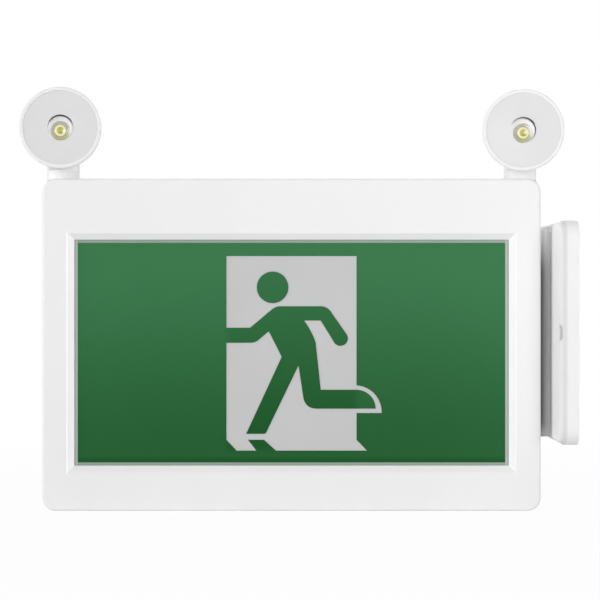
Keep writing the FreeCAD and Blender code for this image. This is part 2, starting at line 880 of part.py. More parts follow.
# Test button in the underside, the switch above it, and the pilot lens beside it.
button = Moulding("test_button", s.button_x, s.button_y, 0.0)
flange_low = s.housing_wall + s.button_flange_gap
flange_high = flange_low + s.button_flange_thick
waist = s.button_radius - s.button_waist
stem_top = s.button_recess + s.button_rise
button.turn(
    "Z",
    [
        (s.button_recess, 0.0),
        (s.button_recess, s.button_radius - s.button_edge),
        (s.button_recess + s.button_edge, s.button_radius),
        (flange_low, s.button_radius),
        (flange_low, s.button_flange),
        (flange_high, s.button_flange),
        (flange_high, waist),
        (stem_top, waist),
        (stem_top, 0.0),
    ],
)
switch_base = stem_top + s.button_travel + s.switch_gap
switch = Moulding("test_switch", s.button_x, s.button_y, switch_base)
switch.add("XY", nought, s.switch_height, centred(s.switch_width, s.switch_depth))
leg_back = inner_back - s.button_y
leg = rectangle(-s.switch_width / 2, s.switch_width / 2, -s.switch_depth / 2, leg_back)
switch.add("XY", s.switch_height, s.switch_height + s.switch_leg, leg)
lens = Moulding("pilot_lens", lens_x, s.button_y, 0.0)
lens_rim = s.lens_radius + s.lens_rim
rim_top = s.housing_wall + s.lens_rim_thick
lens.turn(
    "Z",
    [
        (s.lens_shy, 0.0),
        (s.lens_shy, s.lens_radius - s.lens_edge),
        (s.lens_shy + s.lens_edge, s.lens_radius),
        (s.housing_wall, s.lens_radius),
        (s.housing_wall, lens_rim),
        (rim_top, lens_rim),
        (rim_top, s.lens_radius),
        (s.lens_length, s.lens_radius),
        (s.lens_length, 0.0),
    ],
)

# Screws that draw the housing to the frame.
head_level = back - s.screw_sunk + s.screw_head_height
shank_end = seam - s.screw_bite
shank_length = back - s.screw_sunk - shank_end
head_size = (s.screw_head_radius, s.screw_head_height)
shank_size = (s.screw_shank_radius, shank_length)
fixings = [screw("-y", x, head_level, z, *head_size, *shank_size) for x, z in screw_places]
joined("housing_screws", fixings)

# Heads. Each is built round its tilt axis with its face towards -Y, then tilted.
tilt_level = top + s.tilt_rise
ear_inner = s.neck_radius - s.ear_thick
lug_thick = 2 * (ear_inner - s.ear_gap)
pin_seat = s.neck_radius - s.pin_sunk


def make_neck(name, x, pan):
    """A round foot with a tube into the housing, cut back to two ears for the head."""
    neck = Moulding(name + "_neck", x, s.neck_y, top + s.pan_gap, 0.0, pan)
    foot = -s.neck_tube_length - s.pan_gap
    axis_level = s.tilt_rise - s.pan_gap
    ear_top = axis_level + s.ear_radius
    neck.turn(
        "Z",
        [
            (foot, s.neck_tube_bore),
            (foot, s.neck_tube_radius),
            (nought, s.neck_tube_radius),
            (nought, s.neck_radius),
            (ear_top, s.neck_radius),
            (ear_top, s.neck_tube_bore),
        ],
    )
    beside = rectangle(-s.neck_radius, s.neck_radius, s.neck_base, ear_top)
    neck.cut("XZ", -s.neck_radius, -s.ear_radius, beside)
    neck.cut("XZ", s.ear_radius, s.neck_radius, beside)
    slot_floor = axis_level - s.lug_radius - s.neck_bridge
    slot = rectangle(-s.ear_radius, s.ear_radius, slot_floor, ear_top)
    neck.cut("YZ", -ear_inner, ear_inner, slot)
    for direction in (-1.0, 1.0):
        corner = direction * s.ear_radius
        bend = -direction * s.ear_radius
        above = [(corner, axis_level, bend), (corner, ear_top), (0.0, ear_top)]
        neck.cut("YZ", -s.neck_radius, s.neck_radius, above)
    pin_hole = (0.0, axis_level, s.pin_radius + s.pin_clearance)
    neck.cut("YZ", -s.neck_radius, s.neck_radius, pin_hole)
    pin_room = (0.0, axis_level, s.pin_head_radius + s.pin_clearance)
    neck.cut("YZ", pin_seat, s.neck_radius, pin_room)
    neck.cut("YZ", -s.neck_radius, -pin_seat, pin_room)
    clip = Moulding(name + "_neck_clip", x, s.neck_y, seat_low - s.pan_gap)
    clip.turn(
        "Z",
        [
            (nought, s.neck_tube_radius),
            (nought, s.clip_radius),
            (-s.clip_thick, s.clip_radius),
            (-s.clip_thick, s.neck_tube_radius),
        ],
    )


def make_head(name, x, tilt, pan):
    """A bowl with its lug, a dish round the eye, and the lamp on its board."""
    spot = (x, s.neck_y, tilt_level, tilt, pan)
    reach = s.head_reach
    radius = s.head_radius
    band_back = reach - s.head_rim_depth
    bowl_end = band_back - s.head_band_slope
    throat = s.head_back + s.head_wall
    inner = radius - s.head_rim_width
    dish_front = reach - s.dish_recess
    dish_back = dish_front - s.dish_thick
    ledge = inner - s.head_ledge
    throat_radius = s.head_back_radius - s.head_wall / 2
    shell = Moulding(name + "_head_shell", *spot)
    shell.turn(
        "Y",
        [
            (-s.head_back, 0.0),
            (-s.head_back, s.head_back_radius),
            (-bowl_end, radius - s.head_band_lip, s.head_bowl_round),
            (-band_back, radius),
            (-reach + s.head_rim_edge, radius),
            (-reach, radius - s.head_rim_edge),
            (-reach, inner),
            (-dish_back, inner),
            (-dish_back, ledge),
            (-bowl_end, ledge - s.head_ledge),
            (-throat - s.head_throat_run, s.head_back_radius + s.head_throat_flare),
            (-throat, throat_radius),
            (-throat, 0.0),
        ],
    )
    lug = s.lug_radius
    lug_foot = -s.head_back - s.head_wall / 4
    lug_outline = [(0.0, -lug), (0.0, lug, lug * 1.0001), (lug_foot, lug), (lug_foot, -lug)]
    shell.add("YZ", -lug_thick / 2, lug_thick / 2, lug_outline)
    shell.cut("YZ", -lug_thick / 2, lug_thick / 2, (0.0, 0.0, s.pin_radius))
    dish = Moulding(name + "_head_dish", *spot)
    edge = inner - s.dish_clearance
    collar_radius = s.eye_radius + s.eye_collar
    plate_front = dish_back - s.dish_fall - s.eye_depth
    dish.turn(
        "Y",
        [
            (-dish_back, edge),
            (-dish_front, edge),
            (-dish_front, edge - s.dish_flat),
            (-dish_front + s.dish_fall, s.eye_radius),
            (-dish_front + s.dish_fall, 0.0),
            (-dish_back + s.dish_fall, 0.0),
            (-dish_back + s.dish_fall, collar_radius),
            (-dish_back, edge - s.head_ledge),
        ],
    )
    dish.add("XZ", -dish_back + s.dish_fall, -plate_front, (0.0, 0.0, collar_radius))
    dish.cut("XZ", -dish_front, -plate_front, (0.0, 0.0, s.eye_radius))
    plate_back = plate_front - s.lamp_board_thick
    plate = Moulding(name + "_lamp_board", *spot)
    plate.add("XZ", -plate_front, -plate_back, (0.0, 0.0, s.lamp_board_radius))
    lamp = Moulding(name + "_lamp", *spot)
    base_front = plate_front + s.lamp_base_height
    dome_front = base_front + s.lamp_dome_rise
    lamp.add("XZ", -base_front, -plate_front, (0.0, -s.lamp_drop, s.lamp_base_radius))
    lamp.add("XZ", -dome_front, -base_front, (0.0, -s.lamp_drop, s.lamp_dome_radius))
    lamp.soften(s.lamp_dome_edge, lambda e: flat_at(e, "y", -dome_front), "Chamfer")
    pin = Moulding(name + "_tilt_pin", x, s.neck_y, tilt_level, 0.0, pan)
    head_low = pin_seat + s.pan_gap
    head_high = head_low + s.pin_head_height
    head_edge = s.pin_head_radius - s.pin_head_edge
    pin.turn(
        "X",
        [
            (-head_high, 0.0),
            (-head_high, head_edge),
            (-head_high + s.pin_head_edge, s.pin_head_radius),
            (-head_low, s.pin_head_radius),
            (-head_low, s.pin_radius),
            (head_low, s.pin_radius),
            (head_low, s.pin_head_radius),
            (head_high - s.pin_head_edge, s.pin_head_radius),
            (head_high, head_edge),
            (head_high, 0.0),
        ],
    )


heads = (("left", -1.0, s.left_tilt, s.left_pan), ("right", 1.0, s.right_tilt, s.right_pan))
for name, direction, tilt, pan in heads:
    make_neck(name, direction * neck_x, pan)
    make_head(name, direction * neck_x, tilt, pan)

# Canopy: a shallow drafted pan that covers the wall box, carried on a hollow stem.
cover = Moulding("canopy_cover")

canopy_outline = rounded(
    s.canopy_width, s.canopy_height, s.canopy_corner, 0.0, s.canopy_middle
)
cover.add("YZ", canopy_face, wall_plane, canopy_outline)
cover.soften(s.canopy_shoulder, lambda e: flat_at(e, "x", canopy_face))
pan_width = s.canopy_width - 2 * s.canopy_wall
pan_height = s.canopy_height - 2 * s.canopy_wall
pan_floor = canopy_face + s.canopy_wall
pan_corner = s.canopy_corner - s.canopy_wall
pan_outline = rounded(pan_width, pan_height, pan_corner, 0.0, s.canopy_middle)
cover.cut("YZ", pan_floor, wall_plane, pan_outline)
cover.soften(s.canopy_shoulder - s.canopy_wall, lambda e: flat_at(e, "x", pan_floor))
release_y = -s.canopy_width / 2 + s.release_inset + s.release_width / 2
release_outline = rounded(
    s.release_width, s.release_height, s.release_corner, release_y, s.canopy_middle
)
cover.cut("YZ", canopy_face, canopy_face + s.release_depth, release_outline)
cover.cut("YZ", canopy_face, pan_floor, stem_hole)

# Mounting plate of the canopy, flush with its rim.
plate_front = wall_plane - s.plate_thick
plate_width = pan_width - 2 * s.plate_margin
plate_height = pan_height - 2 * s.plate_margin
plate_corner = pan_corner - s.plate_margin
plate_outline = rounded(plate_width, plate_height, plate_corner, 0.0, s.canopy_middle)
plate = Moulding("canopy_plate")
plate.add("YZ", plate_front, wall_plane, plate_outline)
plate_holes = [(0.0, s.canopy_middle, s.stem_bore)]
for direction in (-1.0, 1.0):
    hole_z = s.canopy_middle + direction * s.box_hole_spacing / 2
    plate_holes.append((0.0, hole_z, s.box_hole_radius))
    slot_y = direction * s.box_slot_spacing / 2
    slot = centred(s.box_slot_length, 2 * s.box_hole_radius, slot_y, s.canopy_middle)
    plate_holes.append(slot)
plate.cut("YZ", plate_front, wall_plane, *plate_holes)

# Hollow stem from the plate into the housing, with a spacer in the gap and a nut inside.
stem = Moulding("canopy_stem", 0.0, 0.0, s.canopy_middle)
nut_inner = side - s.housing_wall - s.nut_thick
stem_end = nut_inner - s.stem_overrun
flange_front = plate_front - s.stem_flange_thick
stem.turn(
    "X",
    [
        (stem_end, s.stem_bore),
        (stem_end, s.stem_radius),
        (flange_front, s.stem_radius),
        (flange_front, s.stem_flange_radius),
        (plate_front, s.stem_flange_radius),
        (plate_front, s.stem_bore),
    ],
)
collar = Moulding("canopy_collar")
collar_outline = rounded(
    s.spacer_depth, s.spacer_height, s.spacer_corner, 0.0, s.canopy_middle
)
collar.add("YZ", side, canopy_face, collar_outline, stem_hole)
nut = Moulding("stem_nut", 0.0, 0.0, s.canopy_middle)
flat = s.nut_radius
half = flat / 2
tall = flat * (3.0 ** 0.5 / 2)
hexagon = [
    (flat, 0.0),
    (half, tall),
    (-half, tall),
    (-flat, 0.0),
    (-half, -tall),
    (half, -tall),
]
nut.add("YZ", nut_inner, side - s.housing_wall, hexagon)
nut.cut("YZ", nut_inner, side - s.housing_wall, (0.0, 0.0, s.stem_radius))

doc.recompute()
faults = [o.Label for o in doc.Objects if "Invalid" in o.State or "Error" in o.State]
if faults:
    raise RuntimeError("features that fail: " + ", ".join(faults))
os.makedirs("parts", exist_ok=True)
for piece in pieces:
    if piece.Shape.isNull() or not piece.Shape.isValid():
        raise RuntimeError("no sound shape for " + piece.Label)
for piece in pieces:
    piece.Shape.exportStep("parts/%s.step" % piece.Label)
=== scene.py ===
import json
import math

import bmesh
import bpy
from mathutils import Matrix, Vector


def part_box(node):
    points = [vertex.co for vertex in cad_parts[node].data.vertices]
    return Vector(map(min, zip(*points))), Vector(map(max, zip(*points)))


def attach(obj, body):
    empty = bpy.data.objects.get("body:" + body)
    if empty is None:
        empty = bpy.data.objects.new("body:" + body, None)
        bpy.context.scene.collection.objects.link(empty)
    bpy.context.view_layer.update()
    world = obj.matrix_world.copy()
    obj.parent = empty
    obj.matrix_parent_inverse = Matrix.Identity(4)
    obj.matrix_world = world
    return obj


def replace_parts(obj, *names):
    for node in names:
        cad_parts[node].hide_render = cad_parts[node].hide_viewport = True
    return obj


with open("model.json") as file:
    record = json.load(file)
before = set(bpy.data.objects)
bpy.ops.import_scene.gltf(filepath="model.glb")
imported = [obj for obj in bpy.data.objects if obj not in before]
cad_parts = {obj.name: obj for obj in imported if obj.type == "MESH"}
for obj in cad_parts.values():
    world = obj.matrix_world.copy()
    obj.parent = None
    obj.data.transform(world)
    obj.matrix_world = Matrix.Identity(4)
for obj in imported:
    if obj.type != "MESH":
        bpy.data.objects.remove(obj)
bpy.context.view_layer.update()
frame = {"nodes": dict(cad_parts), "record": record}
nodes = frame["nodes"]
sides = ("left", "right")


def middle_of(name):
    """The middle of a solid's box."""
    low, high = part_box(name)
    return [(a + b) / 2 for a, b in zip(low, high)]


class Field:
    """A socket of the node tree that is being built, so that nodes read as arithmetic."""

    tree = None

    def __init__(self, socket):
        self.socket = socket

    @classmethod
    def raw(cls, kind, settings=None, inputs=None):
        """A new node with its settings made and its inputs joined up or filled in."""
        made = cls.tree.nodes.new(kind)
        for name, value in (settings or {}).items():
            setattr(made, name, value)
        for name, value in (inputs or {}).items():
            if isinstance(value, Field):
                cls.tree.links.new(value.socket, made.inputs[name])
            elif value is not None:
                made.inputs[name].default_value = value
        return made

    @classmethod
    def node(cls, kind, settings=None, inputs=None, output=0):
        return cls(cls.raw(kind, settings, inputs).outputs[output])

    @classmethod
    def maths(cls, operation, *values):
        return cls.node("ShaderNodeMath", {"operation": operation}, dict(enumerate(values)))

    @classmethod
    def vector(cls, x=0.0, y=0.0, z=0.0):
        return cls.node("ShaderNodeCombineXYZ", None, {0: x, 1: y, 2: z})

    def __add__(self, other):
        return Field.maths("ADD", self, other)

    def __sub__(self, other):
        return Field.maths("SUBTRACT", self, other)

    def __mul__(self, other):
        return Field.maths("MULTIPLY", self, other)

    def __truediv__(self, other):
        return Field.maths("DIVIDE", self, other)

    def __rsub__(self, other):
        return Field.maths("SUBTRACT", other, self)

    __radd__ = __add__
    __rmul__ = __mul__

    def size(self):
        return Field.maths("ABSOLUTE", self)

    def step(self, low, high, from_value=0.0, to_value=1.0):
        """Runs smoothly from one value to the other as this one goes from low to high."""
        return Field.node(
            "ShaderNodeMapRange",
            {"interpolation_type": "SMOOTHSTEP"},
            {0: self, 1: low, 2: high, 3: from_value, 4: to_value},
        )

    def part(self, axis):
        return Field.node("ShaderNodeSeparateXYZ", None, {0: self}, "XYZ".index(axis))


def place():
    """The point's place in the object, in metres."""
    return Field.node("ShaderNodeTexCoord", None, None, "Object")


def stretched(vector, scale):
    """Coordinates in which noise runs long along the axes of small scale."""
    return Field.node("ShaderNodeMapping", None, {"Vector": vector, "Scale": scale})


def distance(across, up):
    """How far two offsets at right angles lead."""
    return Field.maths("SQRT", across * across + up * up)


def grain(vector, size_mm, detail=3.0, rough=0.55):
    """Soft noise whose lumps are about size_mm across."""
    return Field.node(
        "ShaderNodeTexNoise",
        None,
        {"Vector": vector, "Scale": 1000.0 / size_mm, "Detail": detail, "Roughness": rough},
    )


def tint(mask, first, second):
    """A colour that runs from first to second with the mask."""
    mixed = Field.tree.nodes.new("ShaderNodeMix")
    mixed.data_type = "RGBA"
    for index, value in ((0, mask), (6, first), (7, second)):
        if isinstance(value, Field):
            Field.tree.links.new(value.socket, mixed.inputs[index])
        elif index == 0:
            mixed.inputs[index].default_value = value
        else:
            mixed.inputs[index].default_value = (*value, 1.0)
    return Field(mixed.outputs[2])


def finish_of(name, build, **constants):
    """A material whose build function returns what varies over the surface."""
    material = bpy.data.materials.new(name)
    material.use_nodes = True
    tree = material.node_tree
    Field.tree = tree
    shader = tree.nodes["Principled BSDF"]
    for socket, value in constants.items():
        shader.inputs[socket.replace("_", " ")].default_value = value
    for socket, value in build().items():
        if isinstance(value, Field):
            tree.links.new(value.socket, shader.inputs[socket])
        elif isinstance(value, tuple) and len(value) == 3:
            shader.inputs[socket].default_value = (*value, 1.0)
        else:
            shader.inputs[socket].default_value = value
    return material


def bumped(height, depth_mm, strength):
    """A normal tilted by the height, as if it were depth_mm deep."""
    return Field.node(
        "ShaderNodeBump",
        None,
        {"Height": height, "Distance": depth_mm / 1000.0, "Strength": strength},
    )


def moulded(colour, spark_mm=0.55, depth_mm=0.02, roughness=0.42, shade=None, tone=None):
    """Moulded plastic: fine spark texture, faint flow marks, a little dulling.

    A tone function paints light and shade into the face colour by place. A shade
    function gives the places, from 0 to 1, where painted shade darkens the colour.
    """

    def build():
        at = place()
        fine = grain(at, spark_mm, 2.0)
        flow = grain(stretched(at, (1, 1, 0.35)), 60.0, 2.0)
        dull = grain(at, 9.0, 4.0)
        faded = tuple(c * 0.982 for c in colour)
        face = tint(flow.step(0.35, 0.68), colour, faded)
        if tone:
            face = tone(at, face)
        # Painted shade darkens the face where the shade function marks it.
        if shade:
            painted_dark = tuple(c * 0.16 for c in colour)
            face = tint(shade(at), face, painted_dark)
        return {
            "Base Color": face,
            "Roughness": roughness + dull * 0.10 + fine * 0.05,
            "Normal": bumped(fine, depth_mm, 0.35),
        }

    return build


sheet_low, sheet_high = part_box("legend_sheet")
sheet_middle = middle_of("legend_sheet")
sheet_half = [(b - a) / 2 for a, b in zip(sheet_low, sheet_high)]
bevel_end_mm = 7.6
seam_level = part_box("front_frame")[1][1]


def frame_painted_light(at, plain):
    """Painted light on the upright bevels of the window, the left one paler than the right."""
    across = (at.part("X").size() - sheet_half[0]) * 1000.0
    up = ((at.part("Z") - sheet_middle[2]).size() - sheet_half[2]) * 1000.0
    outside = Field.maths("MAXIMUM", across, up)
    upright = (across - up).step(-0.3, 0.3)
    bevel = outside.step(bevel_end_mm - 0.5, bevel_end_mm + 0.2, 1.0, 0.0) * upright
    paler = tint(at.part("X").step(-0.01, 0.01), (0.99, 0.99, 0.985), (0.89, 0.89, 0.89))
    return tint(bevel, plain, paler)


def canopy_painted_light(at, plain):
    """Painted light on the wall beside the sign, and painted shade along the shoulder."""
    inward = (at.part("X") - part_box("canopy_cover")[0][0]) * 1000.0
    wall = inward.step(0.15, 0.9, 1.0, 0.0)
    shoulder = inward.step(0.9, 2.4) * inward.step(3.2, 5.8, 1.0, 0.0)
    return tint(shoulder, tint(wall, plain, (0.98, 0.98, 0.98)), (0.68, 0.68, 0.68))


def seam_painted_shade(at):
    """The parting line between the front frame and the housing, painted as a thin line of shade.
    """
    away = (at.part("Y") - seam_level).size() * 1000.0
    return away.step(0.10, 0.26, 0.75, 0.0)


def sheet_metal(colour, roughness=0.34):
    """Rolled metal with faint lines along one way and soft blotches."""

    def build():
        at = place()
        lines = grain(stretched(at, (1, 1, 22)), 6.0, 4.0)
        cloud = grain(at, 7.0, 3.0)
        dark = tuple(c * 0.9 for c in colour)
        return {
            "Base Color": tint(cloud.step(0.3, 0.7), colour, dark),
            "Roughness": roughness + lines * 0.16 + cloud * 0.08,
            "Normal": bumped(lines, 0.02, 0.3),
        }

    return build


# The middle and half size of the white door, across and up.
door_middle = (0.0002, 0.1075)
door_half = (0.0445, 0.0665)


def legend_print():
    """Green print, fine tooth, deeper in the figure; painted light to the top and ends, painted
    shade at the foot.
    """
    at = place()
    height = (at.part("Z") - sheet_low[2]) / (sheet_high[2] - sheet_low[2])
    end = at.part("X").size() / sheet_half[0]
    tooth = grain(at, 0.9, 3.0, 0.7)
    across = door_half[0] - (at.part("X") - door_middle[0]).size()
    up = door_half[1] - (at.part("Z") - door_middle[1]).size()
    figure = Field.maths("MINIMUM", across, up).step(-0.003, 0.004, 0.0, 0.24)
    # Painted shade deepens the foot; painted light pales the top and the ends.
    foot = height.step(0.0, 0.035, 0.30, 0.0)
    painted_lift = height.step(0.0, 1.05) * 0.85 + end.step(0.55, 1.0) * 0.05 + (tooth - 0.5) * 0.16
    deep, pale = (0.005, 0.084, 0.015), (0.038, 0.174, 0.064)
    return {
        "Base Color": tint(painted_lift - figure - foot + 0.2, deep, pale),
        "Roughness": 0.5 + tooth * 0.16,
        "Normal": bumped(tooth, 0.03, 0.3),
    }


def opal_panel():
    """Milky panel: pale in the field, grey-green where the frame shades its edge."""
    at = place()
    across = (sheet_half[0] - at.part("X").size()) * 1000.0
    up = (sheet_half[2] - (at.part("Z") - sheet_middle[2]).size()) * 1000.0
    inset = Field.maths("MINIMUM", across, up)
    tooth = grain(at, 0.9, 3.0, 0.7)
    cloud = grain(at, 90.0, 1.0)
    pale = tint(cloud.step(0.3, 0.7), (0.535, 0.537, 0.537), (0.510, 0.513, 0.512))
    margin = tint(across.step(-0.6, 0.2), (0.42, 0.475, 0.43), (0.28, 0.335, 0.29))
    edge = tint(inset.step(-2.3, -1.5), (0.13, 0.145, 0.135), margin)
    return {
        "Base Color": tint(inset.step(-0.2, 0.6), edge, pale),
        "Roughness": 0.42 + tooth * 0.14,
        "Normal": bumped(tooth, 0.02, 0.25),
    }


spacer_low, spacer_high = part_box("canopy_collar")


def spacer_painted_shade():
    """Grey rubber with painted shade, darkest beside the sign, and painted light towards its ends.
    """
    at = place()
    across = (at.part("X") - spacer_low[0]) / (spacer_high[0] - spacer_low[0])
    under_top = (spacer_high[2] - at.part("Z")) * 1000.0
    over_foot = (at.part("Z") - spacer_low[2]) * 1000.0
    fine = grain(at, 0.7, 2.0)
    streak = grain(stretched(at, (1.0, 1.0, 0.02)), 1.1, 2.0)
    # Painted shade beside the sign, then painted light towards the top and the foot.
    field = tint(across.step(-0.05, 0.9), (0.05, 0.05, 0.052), (0.60, 0.60, 0.60))
    faded = tint(under_top.step(-3.0, 34.0), (0.88, 0.88, 0.88), field)
    faded = tint(over_foot.step(0.0, 12.0, 0.5, 0.0), faded, (0.72, 0.72, 0.72))
    return {
        "Base Color": tint(streak.step(0.35, 0.7, 0.0, 0.22), faded, (0.14, 0.14, 0.14)),
        "Roughness": 0.58 + fine * 0.12,
        "Normal": bumped(fine, 0.04, 0.4),
    }


def lamp_colours():
    """Two chips under a pale cup in an olive body, as rings about the lamp's own middle."""
    at = Field.node("ShaderNodeAttribute", {"attribute_name": "lamp_place"}, None, 1)
    across, up = at.part("X"), at.part("Z")
    radius = distance(across, up)
    speckle = grain(place(), 0.5, 3.0)
    split = across.size().step(0.08, 0.45, 0.55, 0.0)
    low = up.step(-1.7, -0.5, 0.75, 0.0)
    chip = tint(Field.maths("MAXIMUM", split, low), (0.46, 0.45, 0.055), (0.25, 0.225, 0.035))
    cup = tint(speckle, (0.84, 0.78, 0.45), (0.88, 0.84, 0.58))
    upper = tint(speckle.step(0.3, 0.7), (0.46, 0.45, 0.33), (0.41, 0.39, 0.30))
    lower = tint(speckle.step(0.3, 0.7), (0.46, 0.46, 0.18), (0.41, 0.41, 0.155))
    body = tint(up.step(-4.5, 1.5), lower, upper)
    inner = tint(radius.step(2.05, 2.75), chip, cup)
    whole = tint(radius.step(3.5, 4.4), inner, body)
    edge = tint(radius.step(5.6, 6.3), whole, (0.50, 0.49, 0.36))
    return {"Base Color": edge, "Roughness": 0.14 + speckle * 0.14}


def eye_wall_painted_shade(side, eye_radius=0.00875):
    """The upper part of the eye's wall, darkened by painted shade."""
    middle = middle_of(side + "_head_dish")

    def shade(at):
        across = at.part("X") - middle[0]
        up = at.part("Z") - middle[2]
        overhang = (up / eye_radius).step(0.35, 0.62)
        return distance(across, up).step(eye_radius, eye_radius + 0.0006, 0.9, 0.0) * overhang

    return shade


# One finish for each material slot, and own ones for solids whose look goes by place.
white = (0.835, 0.835, 0.835)
dish = (0.705, 0.705, 0.705)
# The necks are painted paler than the shell to stand in for light under the heads, the right one a
# little more.
neck_painted_light = {"left": (0.90, 0.90, 0.90), "right": (0.92, 0.92, 0.92)}
finishes = {
    "shell_white": finish_of("moulded white", moulded(white)),
    "legend_green": finish_of("legend green", legend_print, Specular_IOR_Level=0.12),
    "panel_opal": finish_of("opal panel", opal_panel),
    "box_white": finish_of("box white", sheet_metal((0.80, 0.80, 0.79), 0.45)),
    "strip_board": finish_of("strip board", moulded((0.80, 0.81, 0.78), 0.3, 0.005, 0.3)),
    "board_green": finish_of("board green", moulded((0.03, 0.17, 0.07), 0.3, 0.01, 0.3)),
    "lamp_board_white": finish_of("lamp board", moulded((0.93, 0.92, 0.94), 0.3, 0.01, 0.3)),
    "transformer_steel": finish_of(
        "transformer steel", sheet_metal((0.10, 0.10, 0.11)), Metallic=1.0
    ),
    "relay_blue": finish_of("relay blue", moulded((0.03, 0.09, 0.30))),
    "terminal_grey": finish_of("terminal grey", moulded((0.30, 0.33, 0.33))),
    "socket_cream": finish_of("socket cream", moulded((0.70, 0.66, 0.52))),
    "capacitor_black": finish_of("capacitor sleeve", moulded((0.02, 0.02, 0.04), 0.4, 0.01, 0.25)),
    "battery_sleeve": finish_of("battery sleeve", moulded((0.06, 0.16, 0.42), 3.0, 0.08, 0.2)),
    "spring_steel": finish_of("spring steel", sheet_metal((0.56, 0.56, 0.57)), Metallic=1.0),
    "spacer_grey": finish_of("spacer rubber", spacer_painted_shade),
    "switch_black": finish_of("switch black", moulded((0.02, 0.02, 0.02))),
    "button_red": finish_of("button red", moulded((0.45, 0.02, 0.02), 0.4, 0.01, 0.3)),
    "pilot_red": finish_of(
        "pilot red", moulded((0.5, 0.02, 0.01), 0.4, 0.005, 0.12), Coat_Weight=0.6
    ),
    "screw_zinc": finish_of("screw zinc", sheet_metal((0.62, 0.62, 0.64), 0.28), Metallic=1.0),
    "plate_steel": finish_of("plate steel", sheet_metal((0.60, 0.61, 0.62), 0.36), Metallic=1.0),
    "lamp_yellow": finish_of("lamp body", lamp_colours, Coat_Weight=0.7, Coat_Roughness=0.06),
}
own_finish = {
    "front_frame": finish_of("frame white", moulded(white, shade=seam_painted_shade, tone=frame_painted_light)),
    "rear_housing": finish_of("housing white", moulded(white, shade=seam_painted_shade)),
    "canopy_cover": finish_of("canopy white", moulded(white, tone=canopy_painted_light)),
}
for side in sides:
    own_finish[side + "_neck"] = finish_of(side + " neck white", moulded(neck_painted_light[side]))
    own_finish[side + "_head_dish"] = finish_of(
        side + " dish", moulded(dish, 0.4, 0.01, 0.30, eye_wall_painted_shade(side))
    )
slot_of = {part["node"]: part["material_slot"] for part in frame["record"]["subparts"]}
for name, node in nodes.items():
    node.data.materials.clear()
    node.data.materials.append(own_finish.get(name) or finishes[slot_of[name]])


def linked(name, mesh, body):
    """Puts a finished mesh in the scene, riding on its body."""
    piece = bpy.data.objects.new(name, mesh)
    bpy.context.scene.collection.objects.link(piece)
    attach(piece, body)
    return piece


def grown(name, sizes, build, slot, body, stand):
    """Grows a tree with named sizes into one plain mesh and stands it in its place."""
    tree = bpy.data.node_groups.new(name, "GeometryNodeTree")
    tree.interface.new_socket("Geometry", in_out="OUTPUT", socket_type="NodeSocketGeometry")
    for label, value in sizes.items():
        kind = "NodeSocketInt" if isinstance(value, int) else "NodeSocketFloat"
        tree.interface.new_socket(label, in_out="INPUT", socket_type=kind)
    Field.tree = tree
    entry = tree.nodes.new("NodeGroupInput")
    shape = build(*[Field(entry.outputs[label]) for label in sizes])
    real = Field.node("GeometryNodeRealizeInstances", None, {"Geometry": shape})
    dressed = Field.node(
        "GeometryNodeSetMaterial", None, {"Geometry": real, "Material": finishes[slot]}
    )
    leave = tree.nodes.new("NodeGroupOutput")
    tree.links.new(dressed.socket, leave.inputs["Geometry"])
    seed = bpy.data.objects.new(name + "_seed", bpy.data.meshes.new(name + "_seed"))
    bpy.context.scene.collection.objects.link(seed)
    growth = seed.modifiers.new("growth", "NODES")
    growth.node_group = tree
    for item in tree.interface.items_tree:
        if item.in_out == "INPUT":
            growth[item.identifier] = sizes[item.name]
    graph = bpy.context.evaluated_depsgraph_get()
    mesh = bpy.data.meshes.new_from_object(seed.evaluated_get(graph))
    bpy.data.objects.remove(seed)
    mesh.transform(stand)
    smoothed(mesh)
    return linked(name, mesh, body)


def smoothed(mesh, crease_deg=32.0):
    """Smooth faces, with edges kept sharp where they fold more than the crease."""
    mesh.polygons.foreach_set("use_smooth", [True] * len(mesh.polygons))
    mesh.set_sharp_from_angle(angle=math.radians(crease_deg))
    mesh.update()


def join(*shapes):
    joined = Field.tree.nodes.new("GeometryNodeJoinGeometry")
    for shape in shapes:
        Field.tree.links.new(shape.socket, joined.inputs["Geometry"])
    return Field(joined.outputs[0])


def moved(shape, offset=None, turn=(0.0, 0.0, 0.0)):
    return Field.node(
        "GeometryNodeTransform",
        None,
        {"Geometry": shape, "Translation": offset, "Rotation": turn},
    )


def crossed_head(radius, height, rise, arm, slit):
    """A pan head on +Z with a crown of the given rise and a crossed recess."""
    blank = Field.raw(
        "GeometryNodeMeshCylinder",
        None,
        {"Vertices": 44, "Fill Segments": 8, "Radius": radius, "Depth": height},
    )
    spot = Field.node("GeometryNodeInputPosition")
    from_axis = spot.part("X") * spot.part("X") + spot.part("Y") * spot.part("Y")
    crown = (1.0 - from_axis / (radius * radius)) * rise
    domed = Field.node(
        "GeometryNodeSetPosition",
        None,
        {
            "Geometry": Field(blank.outputs["Mesh"]),
            "Selection": Field(blank.outputs["Top"]),
            "Offset": Field.vector(0.0, 0.0, crown),
        },
    )
    bar_depth = height * 1.1
    first = Field.node("GeometryNodeMeshCube", None, {"Size": Field.vector(arm, slit, bar_depth)})
    second = Field.node("GeometryNodeMeshCube", None, {"Size": Field.vector(slit, arm, bar_depth)})
    recess = moved(join(first, second), Field.vector(0.0, 0.0, height * 0.5 + rise))
    cut = Field.node(
        "GeometryNodeMeshBoolean",
        {"operation": "DIFFERENCE", "solver": "EXACT"},
        {"Self Intersection": True, "Mesh 1": domed, "Mesh 2": recess},
        "Mesh",
    )
    whole = Field.node(
        "GeometryNodeMergeByDistance", None, {"Geometry": cut, "Distance": 0.000004}
    )
    return moved(whole, Field.vector(0.0, 0.0, height * 0.5))


